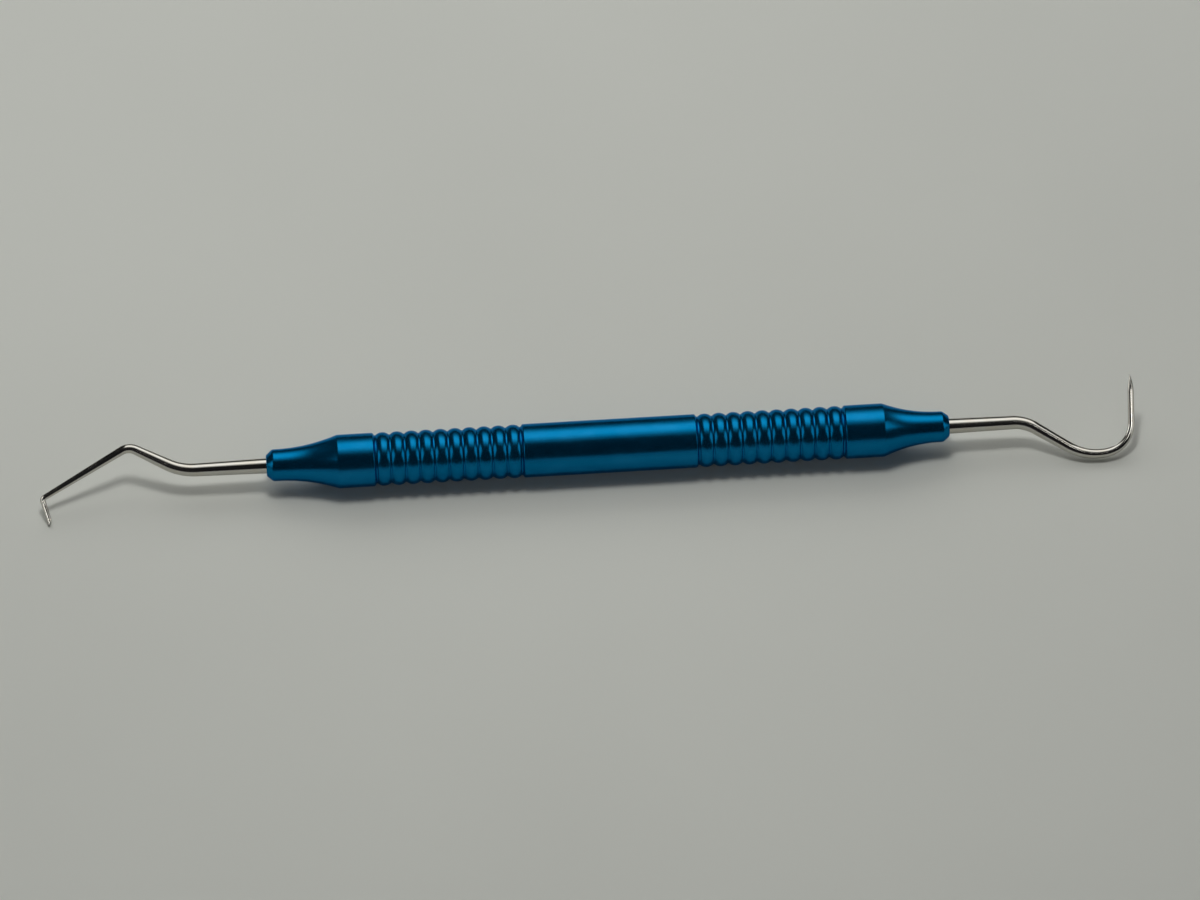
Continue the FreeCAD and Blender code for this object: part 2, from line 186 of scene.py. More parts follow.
class ScalerCone(PropertyGroup):
    """Sizes of the two screw-in cones and their seal rings."""
    spigot_radius: length("Thread radius", "Over the thread on the spigot", 2.475)
    thread_pitch: length("Thread pitch", "Pitch of the thread", 0.8)
    thread_depth: length("Thread depth", "Crest to root of the thread", 0.42)
    neck_radius: length("Neck radius", "Neck under the shoulder", 2.0)
    neck_length: length("Neck length", "Length of that neck", 1.0)
    lead_in: length("Lead-in", "Bevel on the spigot's end", 0.4)
    nose_face_radius: length("Nose face radius", "Flat face at the end of the nose", 1.55)
    nose_bevel: length("Nose bevel", "Length of the nose's end bevel", 0.95)
    nose_land: length("Nose land", "Straight stretch before that bevel", 0.55)
    angled_flare: length("Angled flare", "Length of the hollow flare, angled end", 9.2)
    angled_nose: length("Angled nose", "Radius of the nose, angled end", 2.38)
    sickle_flare: length("Sickle flare", "Length of the hollow flare, sickle end", 8.4)
    sickle_nose: length("Sickle nose", "Radius of the nose, sickle end", 2.3)
    seal_ring: length("Seal ring", "Middle of the seal ring's section", 2.4)
    seal_section: length("Seal section", "Radius of that round section", 0.35)


class ScalerTip(PropertyGroup):
    """What both steel tips share."""
    tang_length: length("Tang length", "Stretch of shank pressed in a cone", 14.0)
    tang_radius: length("Tang radius", "Shank where it is pressed in", 1.15)
    lie: turn("Lie", "Slope of the plane in which both tips are bent", 32.35)


class ScalerAngledTip(PropertyGroup):
    """The angled tip: lengths, turns and bend radii, in order from the nose."""
    shank: length("Shank", "Straight shank out of the nose", 10.49)
    turn1: turn("First turn", "Turn away from the surface", 28.3)
    bend1: length("First bend", "Radius of the first bend", 9.0)
    rise: length("Rise", "Straight stretch after the first bend", 5.09)
    turn2: turn("Second turn", "Turn back across the axis", -56.5)
    bend2: length("Second bend", "Radius of the second bend", 2.3)
    arm: length("Arm", "Straight arm", 13.31)
    turn3: turn("Third turn", "Turn from the arm to the blade", -77.0)
    bend3: length("Third bend", "Radius at the root of the blade", 0.55)
    blade: length("Blade", "Straight blade", 3.8)
    bevel: turn("Bevel", "Slope of the bevel on the blade's end", 50.0)


class ScalerSickleTip(PropertyGroup):
    """The sickle tip: lengths, turns and bend radii, in order from the nose."""
    shank: length("Shank", "Straight shank out of the nose", 9.6)
    turn1: turn("First turn", "Turn towards the surface", -33.4)
    bend1: length("First bend", "Radius of the first bend", 6.0)
    slope: length("Slope", "Straight slope after the first bend", 5.64)
    turn2: turn("Wide turn", "Turn in the wide part of the hook", 43.0)
    bend2: length("Wide bend", "Radius of the wide part of the hook", 8.19)
    turn3: turn("Close turn", "Turn in the close part of the hook", 77.3)
    bend3: length("Close bend", "Radius of the close part of the hook", 4.63)
    blade: length("Blade", "Straight blade after the hook", 4.2)
    point: length("Point", "Pointed end of the blade", 3.0)


class ScalerFinish(PropertyGroup):
    """Colours of the finishes."""
    handle_blue: colour("Anodised blue", "Dyed and sealed aluminium", 0.0, 0.15, 0.34)
    worn_blue: colour("Worn blue", "The same where fingers have polished it", 0.01, 0.2, 0.43)
    steel: colour("Steel", "Polished steel", 0.54, 0.53, 0.495)
    rubber: colour("Seal rubber", "Seal rings", 0.02, 0.02, 0.022)
    surface: colour("Surface", "Pale surface under the scaler", 0.84, 0.857, 0.81)


class ScalerStage(PropertyGroup):
    """Camera and studio."""
    elevation: turn("Elevation", "Height of the view above the surface", 50.0)
    swing: turn("Swing", "How far the view is swung from square to the handle", 4.33)
    distance: length("Distance", "Camera to the middle of the handle", 1200.0)
    lens: FloatProperty(name="Lens", description="Focal length in millimetres", default=241.1)
    aim_right: length("Aim right", "View centre, right of the handle's middle", -1.43)
    aim_up: length("Aim up", "View centre, above the handle's middle", -0.62)


GROUPS = {
    "scaler_handle": ScalerHandle,
    "scaler_cone": ScalerCone,
    "scaler_tip": ScalerTip,
    "scaler_angled": ScalerAngledTip,
    "scaler_sickle": ScalerSickleTip,
    "scaler_finish": ScalerFinish,
    "scaler_stage": ScalerStage,
}


# ---------------------------------------------------------------- node building

class GeometryTree:
    """Writes a Geometry Nodes tree a node at a time."""

    def __init__(self, name, inputs):
        self.tree = bpy.data.node_groups.new(name, "GeometryNodeTree")
        face = self.tree.interface
        face.new_socket("Geometry", in_out="OUTPUT", socket_type="NodeSocketGeometry")
        for label, kind in inputs:
            face.new_socket(label, in_out="INPUT", socket_type=f"NodeSocket{kind}")
        self.entry = self.tree.nodes.new("NodeGroupInput")

    def given(self, label):
        """One of the tree's own inputs."""
        return self.entry.outputs[label]

    def node(self, kind, values=(), **settings):
        """Add a node, set its properties, then fill or link its inputs by name or number."""
        made = self.tree.nodes.new(kind)
        for key, value in settings.items():
            setattr(made, key, value)
        for key, value in dict(values).items():
            self.fill(made.inputs[key], value)
        return made

    def fill(self, socket, value):
        """Link an output to a socket, or set the socket to a plain value."""
        if isinstance(value, bpy.types.NodeSocket):
            self.tree.links.new(value, socket)
        else:
            socket.default_value = value

    def math(self, operation, *values):
        """One Math node's result."""
        return self.node("ShaderNodeMath", dict(enumerate(values)), operation=operation).outputs[0]

    def vector_math(self, operation, *values):
        """One Vector Math node's result."""
        return self.node("ShaderNodeVectorMath", dict(enumerate(values)), operation=operation).outputs[0]

    def scaled(self, vector, factor):
        """A vector times a number."""
        return self.node("ShaderNodeVectorMath", {0: vector, "Scale": factor}, operation="SCALE").outputs[0]

    def stored(self, name, kind="FLOAT"):
        """A named attribute of the geometry."""
        return self.node("GeometryNodeInputNamedAttribute", {"Name": name}, data_type=kind).outputs[0]

    def sample(self, geometry, value, index, kind="FLOAT"):
        """A value read from one point of some geometry."""
        return self.node("GeometryNodeSampleIndex",
                         {"Geometry": geometry, "Value": value, "Index": index},
                         data_type=kind, domain="POINT").outputs[0]

    def finish(self, geometry):
        """Realize, merge, smooth and give the material, as every tree here ends."""
        real = self.node("GeometryNodeRealizeInstances", {"Geometry": geometry})
        merged = self.node("GeometryNodeMergeByDistance", {"Geometry": real.outputs[0], "Distance": MERGE})
        smooth = self.node("GeometryNodeSetShadeSmooth", {"Geometry": merged.outputs[0]})
        painted = self.node("GeometryNodeSetMaterial",
                            {"Geometry": smooth.outputs[0], "Material": self.given("Material")})
        end = self.tree.nodes.new("NodeGroupOutput")
        self.tree.links.new(painted.outputs[0], end.inputs[0])
        return self.tree

    def grid_place(self, rows, facets):
        """A grid with its row number and its angle round, for wrapping into a tube."""
        columns = self.math("ADD", facets, 1)
        grid = self.node("GeometryNodeMeshGrid", {"Vertices X": rows, "Vertices Y": columns})
        index = self.node("GeometryNodeInputIndex").outputs[0]
        row = self.math("FLOOR", self.math("DIVIDE", self.math("ADD", index, 0.5), columns))
        column = self.math("SUBTRACT", index, self.math("MULTIPLY", row, columns))
        angle = self.math("DIVIDE", self.math("MULTIPLY", column, 2 * math.pi), facets)
        return grid.outputs["Mesh"], row, angle

    def place(self, geometry, position):
        """Move every point of some geometry to a position."""
        return self.node("GeometryNodeSetPosition",
                         {"Geometry": geometry, "Position": position}).outputs[0]


def turning_tree():
    """Turns an outline round X. Where the outline's "thread" is 1 a right-hand thread is cut."""
    tree = GeometryTree("turning", [
        ("Outline", "Geometry"), ("Facets", "Int"), ("Thread Pitch", "Float"),
        ("Thread Depth", "Float"), ("Material", "Material")])
    outline = tree.given("Outline")
    size = tree.node("GeometryNodeAttributeDomainSize", {"Geometry": outline}, component="MESH")
    grid, row, angle = tree.grid_place(size.outputs["Point Count"], tree.given("Facets"))
    position = tree.node("GeometryNodeInputPosition").outputs[0]
    point = tree.sample(outline, position, row, "FLOAT_VECTOR")
    parts = tree.node("ShaderNodeSeparateXYZ", {0: point})
    along, radius = parts.outputs[0], parts.outputs[1]
    threaded = tree.sample(outline, tree.stored("thread"), row)
    turns = tree.math("DIVIDE", angle, 2 * math.pi)
    phase = tree.math("SUBTRACT", tree.math("DIVIDE", along, tree.given("Thread Pitch")), turns)
    wave = tree.math("MULTIPLY", tree.math("PINGPONG", phase, 0.5), 2)
    cut = tree.math("MULTIPLY", tree.math("MULTIPLY", wave, tree.given("Thread Depth")), threaded)
    radius = tree.math("SUBTRACT", radius, cut)
    y = tree.math("MULTIPLY", radius, tree.math("COSINE", angle))
    z = tree.math("MULTIPLY", radius, tree.math("SINE", angle))
    place = tree.node("ShaderNodeCombineXYZ", {0: along, 1: y, 2: z}).outputs[0]
    return tree.finish(tree.place(grid, place))


def ribs_tree():
    """One rounded crest, turned round X and repeated along it for a ribbed grip."""
    tree = GeometryTree("ribbed_grip", [
        ("Geometry", "Geometry"), ("First Crest", "Float"), ("Pitch", "Float"), ("Count", "Int"),
        ("Crest Radius", "Float"), ("Valley Radius", "Float"), ("Floor Width", "Float"),
        ("Steps", "Int"), ("Facets", "Int"), ("Material", "Material")])
    steps = tree.given("Steps")
    grid, row, angle = tree.grid_place(tree.math("ADD", steps, 3), tree.given("Facets"))
    pitch, floor = tree.given("Pitch"), tree.given("Floor Width")
    height = tree.math("SUBTRACT", tree.given("Crest Radius"), tree.given("Valley Radius"))
    half = tree.math("MULTIPLY", tree.math("SUBTRACT", tree.math("ABSOLUTE", pitch), floor), 0.5)
    squares = tree.math("ADD", tree.math("MULTIPLY", half, half), tree.math("MULTIPLY", height, height))
    round_radius = tree.math("DIVIDE", squares, tree.math("MULTIPLY", height, 2))
    reach = tree.math("ARCSINE", tree.math("DIVIDE", half, round_radius))
    share = tree.node("ShaderNodeClamp", {
        "Value": tree.math("DIVIDE", tree.math("SUBTRACT", row, 1), steps), "Min": 0, "Max": 1})
    across = tree.math("SUBTRACT", tree.math("MULTIPLY", share.outputs[0], 2), 1)
    swing = tree.math("MULTIPLY", across, reach)
    first = tree.math("LESS_THAN", row, 0.5)
    last = tree.math("GREATER_THAN", row, tree.math("ADD", steps, 1.5))
    side = tree.math("MULTIPLY", tree.math("SUBTRACT", last, first), tree.math("MULTIPLY", floor, 0.5))
    along = tree.math("ADD", tree.math("MULTIPLY", round_radius, tree.math("SINE", swing)), side)
    risen = tree.math("MULTIPLY", round_radius, tree.math("COSINE", swing))
    drop = tree.math("SUBTRACT", round_radius, risen)
    radius = tree.math("SUBTRACT", tree.given("Crest Radius"), drop)
    y = tree.math("MULTIPLY", radius, tree.math("COSINE", angle))
    z = tree.math("MULTIPLY", radius, tree.math("SINE", angle))
    crest = tree.place(grid, tree.node("ShaderNodeCombineXYZ", {0: along, 1: y, 2: z}).outputs[0])
    start = tree.node("ShaderNodeCombineXYZ", {0: tree.given("First Crest")}).outputs[0]
    offset = tree.node("ShaderNodeCombineXYZ", {0: pitch}).outputs[0]
    line = tree.node("GeometryNodeMeshLine",
                     {"Count": tree.given("Count"), "Start Location": start, "Offset": offset})
    rings = tree.node("GeometryNodeInstanceOnPoints", {"Points": line.outputs[0], "Instance": crest})
    return tree.finish(rings.outputs[0])


def flat_reach(tree, angle, flats, sharpness):
    """How far a round section with flats reaches at each angle, as a share of its radius.

    flats holds (direction, distance) of each flat's middle; a high sharpness gives keen edges.
    """
    total = 1
    for direction, distance in flats:
        facing = tree.math("MAXIMUM", tree.math("COSINE", tree.math("SUBTRACT", angle, direction)), 0)
        share = tree.math("POWER", tree.math("DIVIDE", facing, distance), sharpness)
        total = tree.math("ADD", total, share)
    return tree.math("POWER", total, -1 / sharpness)


def bent_rod_tree(name, flats, sharpness):
    """Skins a bent centre line with round rings that turn into a ground blade section.

    The line's points carry: rod_radius, across (towards the inside of the last bend), along,
    ground (0 round, 1 ground) and lean (how far a ring slopes along the rod).
    """
    tree = GeometryTree(name, [
        ("Centre Line", "Geometry"), ("Facets", "Int"), ("Material", "Material")])
    line = tree.given("Centre Line")
    size = tree.node("GeometryNodeAttributeDomainSize", {"Geometry": line}, component="MESH")
    grid, row, angle = tree.grid_place(size.outputs["Point Count"], tree.given("Facets"))
    position = tree.node("GeometryNodeInputPosition").outputs[0]
    centre = tree.sample(line, position, row, "FLOAT_VECTOR")
    across = tree.sample(line, tree.stored("across", "FLOAT_VECTOR"), row, "FLOAT_VECTOR")
    along = tree.sample(line, tree.stored("along", "FLOAT_VECTOR"), row, "FLOAT_VECTOR")
    rod = tree.sample(line, tree.stored("rod_radius"), row)
    ground = tree.sample(line, tree.stored("ground"), row)
    lean = tree.sample(line, tree.stored("lean"), row)
    flat = flat_reach(tree, angle, flats, sharpness)
    shape = tree.math("ADD", 1, tree.math("MULTIPLY", ground, tree.math("SUBTRACT", flat, 1)))
    radius = tree.math("MULTIPLY", rod, shape)
    inward = tree.math("MULTIPLY", radius, tree.math("COSINE", angle))
    upward = tree.math("MULTIPLY", radius, tree.math("SINE", angle))
    normal = tree.vector_math("CROSS_PRODUCT", along, across)
    place = tree.vector_math("ADD", centre, tree.scaled(across, inward))
    place = tree.vector_math("ADD", place, tree.scaled(normal, upward))
    place = tree.vector_math("ADD", place, tree.scaled(along, tree.math("MULTIPLY", inward, lean)))
    return tree.finish(tree.place(grid, place))


def run_tree(name, mesh, tree, inputs):
    """Run a tree on a mesh and keep the result as a plain mesh object in the scene."""
    piece = bpy.data.objects.new(name, mesh)
    bpy.context.collection.objects.link(piece)
    modifier = piece.modifiers.new("build", "NODES")
    modifier.node_group = tree
    for item in tree.interface.items_tree:
        if item.in_out == "INPUT" and item.name in inputs:
            modifier[item.identifier] = inputs[item.name]
    graph = bpy.context.evaluated_depsgraph_get()
    built = bpy.data.meshes.new_from_object(piece.evaluated_get(graph))
    piece.modifiers.clear()
    piece.data = built
    return piece


# ---------------------------------------------------------------- mesh helpers

def polyline(name, points, **attributes):
    """A mesh of points joined in a row, with named float or vector attributes."""
    mesh = bpy.data.meshes.new(name)
    edges = [(index, index + 1) for index in range(len(points) - 1)]
    mesh.from_pydata(points, edges, [])
    for key, values in attributes.items():
        vectors = hasattr(values[0], "__len__")
        kind = "FLOAT_VECTOR" if vectors else "FLOAT"
        stored = mesh.attributes.new(key, kind, "POINT")
        if vectors:
            stored.data.foreach_set("vector", [part for value in values for part in value])
        else:
            stored.data.foreach_set("value", values)
    return mesh


def close_up(piece):
    """Merge seams, face every wall outwards and keep real edges crisp."""
    mesh = piece.data
    build = bmesh.new()
    build.from_mesh(mesh)
    bmesh.ops.remove_doubles(build, verts=build.verts, dist=MERGE)
    bmesh.ops.dissolve_degenerate(build, edges=build.edges, dist=MERGE)
    bmesh.ops.recalc_face_normals(build, faces=build.faces)
    if build.calc_volume(signed=True) < 0:
        bmesh.ops.reverse_faces(build, faces=build.faces)
    gaps = [edge for edge in build.edges if not edge.is_manifold]
    if gaps:
        raise RuntimeError(f"{piece.name} has {len(gaps)} open edges")
    build.to_mesh(mesh)
    build.free()
    for face in mesh.polygons:
        face.use_smooth = True
    mesh.set_sharp_from_angle(angle=SMOOTH_LIMIT)


def join(pieces, name):
    """Join several pieces into the first and name it."""
    with bpy.context.temp_override(active_object=pieces[0], selected_editable_objects=pieces):
        bpy.ops.object.join()
    pieces[0].name = name
    return pieces[0]


def softened(corners):
    """Round an outline's corners, given as (x, radius, softness), with short arcs."""
    places = [Vector((x, radius, 0)) for x, radius, _ in corners]
    points = [places[0]]
    for index in range(1, len(corners) - 1):
        corner, softness = places[index], corners[index][2]
        if not softness:
            points.append(corner)
            continue
        back, forth = places[index - 1] - corner, places[index + 1] - corner
        reach = min(softness, back.length * CORNER_SHARE, forth.length * CORNER_SHARE)
        start, end = corner + back.normalized() * reach, corner + forth.normalized() * reach
        for share in CORNER_STEPS:
            points.append(start.lerp(corner, share).lerp(corner.lerp(end, share), share))
    points.append(places[-1])
    return points


def thread_points(start, end, radius, pitch):
    """Outline points along a threaded stretch, and how deep the thread is cut at each."""
    count = math.ceil(abs(end - start) / pitch * STEPS_A_PITCH)
    shares = [step / count for step in range(count + 1)]
    points = [Vector((start + (end - start) * share, radius, 0)) for share in shares]
    run_out = pitch / abs(end - start)
    depths = [min(1, share / run_out, (1 - share) / run_out) for share in shares]
    return points, depths


def turned(name, stretches, cone, material):
    """Turn an outline round X. stretches holds (points, thread depths or None) in order."""
    points, depths = [], []
    for places, cut in stretches:
        points += places
        depths += cut or [0] * len(places)
    outline = polyline(name, points, thread=depths)
    return run_tree(name, outline, bpy.data.node_groups["turning"], {
        "Facets": FACETS_ROUND, "Thread Pitch": cone.thread_pitch,
        "Thread Depth": cone.thread_depth, "Material": material})


def claim(piece, body, slot, *nodes):
    """Parent a finished piece to the body it rides on and hide the plain parts it stands for. slot is not
    used.
    """
    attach(piece, body)
    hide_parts(*nodes)


# ---------------------------------------------------------------- finishes

class Finish:
    """A material built a node at a time round one Principled shader."""

    def __init__(self, name, **plain):
        self.material = bpy.data.materials.new(name)
        self.material.use_nodes = True
        self.tree = self.material.node_tree
        self.shader = self.tree.nodes["Principled BSDF"]
        for key, value in plain.items():
            self.shader.inputs[key.replace("_", " ").title().replace("Ior", "IOR")].default_value = value
        self.place = self.tree.nodes.new("ShaderNodeTexCoord").outputs["Object"]

    def node(self, kind, values=(), **settings):
        """Add a node, set its properties, then fill or link its inputs by name or number."""
        made = self.tree.nodes.new(kind)
        for key, value in settings.items():
            setattr(made, key, value)
        for key, value in dict(values).items():
            if isinstance(value, bpy.types.NodeSocket):
                self.tree.links.new(value, made.inputs[key])
            else:
                made.inputs[key].default_value = value
        return made

    def drive(self, label, value):
        """Link a value to one of the shader's inputs."""
        self.tree.links.new(value, self.shader.inputs[label])

    def noise(self, stretch, detail=2.0, roughness=0.5):
        """Noise in Object coordinates, stretched along each axis by its grains a metre."""
        mapped = self.node("ShaderNodeMapping", {"Vector": self.place, "Scale": stretch})
        return self.node("ShaderNodeTexNoise", {
            "Vector": mapped.outputs[0], "Scale": 1.0, "Detail": detail,
            "Roughness": roughness}).outputs["Fac"]

    def between(self, value, low, high, to_low=0.0, to_high=1.0):
        """Map a value from one range to another, clamped."""
        return self.node("ShaderNodeMapRange", {
            "Value": value, "From Min": low, "From Max": high,
            "To Min": to_low, "To Max": to_high}).outputs[0]

    def times(self, first, second):
        """The product of two values."""
        return self.node("ShaderNodeMath", {0: first, 1: second}, operation="MULTIPLY").outputs[0]

    def blend(self, share, first, second):
        """A colour between two others."""
        return self.node("ShaderNodeMix", {0: share, 6: first, 7: second}, data_type="RGBA").outputs[2]

    def bump(self, height, strength, depth):
        """Raise the surface by a height pattern."""
        raised = self.node("ShaderNodeBump", {"Height": height, "Strength": strength, "Distance": depth})
        self.drive("Normal", raised.outputs[0])

    def reach_from_axis(self):
        """Distance from the handle's axis."""
        flat = self.node("ShaderNodeMapping", {"Vector": self.place, "Scale": (0, 1, 1)})
        return self.node("ShaderNodeVectorMath", {0: flat.outputs[0]}, operation="LENGTH").outputs["Value"]


def full(shade):
    """A colour with its alpha."""
    return (*shade, 1.0)


def make_anodised_blue(colours):
    """Bright dyed aluminium: fine turning marks, uneven dye, crests polished by fingers."""
    finish = Finish("anodised_blue", metallic=0.9, specular_tint=(0.2, 0.6, 1.0, 1.0),
                    specular_ior_level=0.1)
    marks = finish.noise((9000, 120, 120), detail=3)
    dye = finish.noise((110, 260, 260), detail=3)
    smears = finish.noise((300, 700, 700), detail=4, roughness=0.6)
    wear = finish.between(finish.reach_from_axis(), WEAR_FROM, HANDLE_RADIUS)
    worn = finish.times(wear, finish.between(smears, 0.45, 0.7, 0.0, 0.5))
    dyed = finish.blend(finish.between(dye, 0.35, 0.65, 0.0, 0.35),
                        full(colours.handle_blue), full(colours.worn_blue))
    finish.drive("Base Color", finish.blend(worn, dyed, full(colours.worn_blue)))
    finish.drive("Roughness", finish.between(smears, 0.3, 0.75, 0.2, 0.27))
    finish.bump(marks, strength=0.12, depth=0.01 * MM)
    return finish.material


def make_steel(colours):
    """Ground and polished steel with fine marks across it and faint handling haze."""
    finish = Finish("polished_steel", metallic=1.0)
    marks = finish.noise((6000, 1800, 1800), detail=3)
    haze = finish.noise((420, 600, 600), detail=4, roughness=0.6)
    warm = full([shade * warmth for shade, warmth in zip(colours.steel, STEEL_WARMTH)])
    finish.drive("Base Color", finish.blend(finish.between(haze, 0.4, 0.7), full(colours.steel), warm))
    finish.drive("Roughness", finish.between(haze, 0.3, 0.7, 0.09, 0.15))
    finish.bump(marks, strength=0.1, depth=0.008 * MM)
    return finish.material


def make_rubber(colours):
    """Dull black seal rubber with a moulded grain."""
    finish = Finish("seal_rubber", specular_ior_level=0.35)
    grain = finish.noise((9000, 9000, 9000), detail=3)
    pale = full([shade * RUBBER_PALE for shade in colours.rubber])
    finish.drive("Base Color", finish.blend(grain, full(colours.rubber), pale))
    finish.drive("Roughness", finish.between(grain, 0.3, 0.7, 0.5, 0.75))
    finish.bump(grain, strength=0.2, depth=0.02 * MM)
    return finish.material


def make_surface(colours):
    """Pale smooth card with a fine tooth and a slightly uneven tone."""
    finish = Finish("pale_card", specular_ior_level=0.3)
    tooth = finish.noise((2600, 2600, 2600), detail=3, roughness=0.6)
    clouds = finish.noise((9, 9, 9), detail=3)
    deep = full([shade * SURFACE_DEEP for shade in colours.surface])
    finish.drive("Base Color", finish.blend(finish.between(clouds, 0.35, 0.65), deep, full(colours.surface)))
    finish.drive("Roughness", finish.between(tooth, 0.3, 0.7, 0.62, 0.78))
    finish.bump(tooth, strength=0.15, depth=0.03 * MM)
    return finish.material


FINISHES = {
    "anodised_blue": make_anodised_blue,
    "polished_steel": make_steel,
    "seal_rubber": make_rubber,
    "pale_card": make_surface,
}


def finish_named(context, name):
    """A finish by name, made the first time it is asked for."""
    return bpy.data.materials.get(name) or FINISHES[name](context.scene.scaler_finish)


# ---------------------------------------------------------------- bent rods

class Station:
    """One ring of a bent rod: its place and heading in the plane of the bends, and its size."""

    def __init__(self, place, heading, radius, distance):
        self.place, self.heading, self.radius, self.distance = place.copy(), heading, radius, distance
        self.ground, self.lean = 0.0, 0.0

    @property
    def along(self):
        """The way the rod runs here."""
        return Vector((math.cos(self.heading), math.sin(self.heading), 0))


def rod_stations(start, runs, tang_length):
    """Rings along straights (length, end radius) and bends (bend radius, turn, end radius)."""
    stations = [Station(Vector((-tang_length, 0, 0)), 0.0, start, -tang_length)]
    for run in runs:
        first = stations[-1]
        bend, angle = (run[0], run[1]) if len(run) == 3 else (0, 0)
        span = abs(bend * angle) or run[0]
        count = max(math.ceil(span / ROD_STEP), math.ceil(abs(angle) / BEND_STEP))
        for step in range(1, count + 1):
            share = step / count
            heading = first.heading + angle * share
            if angle:
                side = math.copysign(bend, angle)
                centre = first.place + Vector((-math.sin(first.heading), math.cos(first.heading), 0)) * side
                place = centre + Vector((math.sin(heading), -math.cos(heading), 0)) * side
            else:
                place = first.place + first.along * span * share
            radius = first.radius + (run[-1] - first.radius) * share
            stations.append(Station(place, heading, radius, first.distance + span * share))
    return stations


def skin_rod(name, stations, inside, end_matrix, tree, material):
    """Make a rod of its stations and put it in its place. inside is +1 for bends to the left."""
    across = [Vector((-station.along.y, station.along.x, 0)) * inside for station in stations]
    line = polyline(
        name, [station.place for station in stations],
        rod_radius=[station.radius for station in stations],
        along=[station.along for station in stations], across=across,
        ground=[station.ground for station in stations],
        lean=[station.lean for station in stations])
    rod = run_tree(name, line, tree, {"Facets": ROD_FACETS, "Material": material})
    close_up(rod)
    rod.data.transform(end_matrix)
    rod.data.update()
    return rod


def rounded_tang(stations):
    """Close the pressed-in end of a rod with a small bevel."""
    first = stations[0]
    bevel = first.radius * TANG_BEVEL
    tip = Station(first.place, first.heading, 0.0, first.distance)
    rim = Station(first.place, first.heading, first.radius - bevel, first.distance)
    first.place += first.along * bevel
    return [tip, rim] + stations


def facing(end):
    """The turn that points an end's own x axis out of the handle."""
    return Matrix.Rotation(math.pi, 4, "Y") if end == "angled" else Matrix.Identity(4)


def end_matrix(end, lie):
    """Where an end's own frame (x out of the nose, y up in the plane of the bends) lies."""
    face = CONE_BOXES[end][0].x if end == "angled" else CONE_BOXES[end][1].x
    return Matrix.Translation((face, 0, 0)) @ Matrix.Rotation(lie, 4, "X") @ facing(end)


# ---------------------------------------------------------------- operators

class SCALER_OT_trees(Operator):
    """Write the Geometry Nodes trees that the pieces are made with"""
    bl_idname = "scaler.trees"
    bl_label = "Geometry Trees"

    def execute(self, context):
        turning_tree()
        ribs_tree()
        bent_rod_tree("bent_blade_rod", BLADE_FLATS, BLADE_KEENNESS)
        bent_rod_tree("bent_sickle_rod", SICKLE_FLATS, SICKLE_KEENNESS)
        return {"FINISHED"}


class SCALER_OT_barrel(Operator):
    """Turn the ribbed handle tube"""
    bl_idname = "scaler.barrel"
    bl_label = "Barrel"

    def execute(self, context):
        scene = context.scene
        sizes, cone = scene.scaler_handle, scene.scaler_cone
        material = finish_named(context, "anodised_blue")
        pitch = sizes.rib_pitch
        first_valley = BARREL_HALF - pitch * sizes.rib_count
        lip = first_valley - sizes.floor_width / 2
        middle = [(first_valley, sizes.valley_radius, 0), (lip, sizes.valley_radius, FLOOR_SOFTNESS),
                  (lip - sizes.edge_rise, HANDLE_RADIUS, CREST_SOFTNESS)]
        middle += [(-x, radius, soft) for x, radius, soft in reversed(middle)]
        parts = [turned("barrel", [(softened(middle), None)], cone, material)]
        for side in (-1, 1):
            grip = bpy.data.meshes.new("grip")
            parts.append(run_tree("grip", grip, bpy.data.node_groups["ribbed_grip"], {
                "First Crest": side * (first_valley + pitch / 2), "Pitch": side * pitch,
                "Count": sizes.rib_count, "Crest Radius": HANDLE_RADIUS,
                "Valley Radius": sizes.valley_radius, "Floor Width": sizes.floor_width,
                "Steps": RIB_STEPS, "Facets": FACETS_ROUND, "Material": material}))
        parts.append(turned("bore", self.bore(sizes, cone), cone, material))
        barrel = join(parts, "barrel_tube")
        close_up(barrel)
        claim(barrel, "handle", "anodised_handle", "barrel")
        return {"FINISHED"}

    def bore(self, sizes, cone):
        """The tube's inner wall from one mouth to the other, tapped at both ends."""
        seat, tapped = sizes.seat_radius, sizes.tapped_radius
        stretches = []
        for side in (1, -1):
            mouth, floor, end = (side * (BARREL_HALF - depth)
                                 for depth in (0, sizes.seat_depth, sizes.tapped_length))
            mouth_line = [Vector((mouth, sizes.valley_radius, 0)),
                          *softened([(mouth, sizes.valley_radius, 0), (mouth, seat, SEAT_SOFTNESS),
                                     (floor, seat, FLOOR_SOFTNESS), (floor, tapped, 0)])[1:]]
            threads, depths = thread_points(floor, end, tapped, cone.thread_pitch)
            end_line = [Vector((end, tapped, 0)), Vector((end, sizes.bore_radius, 0))]
            stretch = [(mouth_line[:-1], None), (threads, [-TAPPED_SHARE * depth for depth in depths]),
                       (end_line[1:], None)]
            if side < 0:
                stretch = [(points[::-1], depths and depths[::-1]) for points, depths in stretch[::-1]]
            stretches += stretch
        return stretches


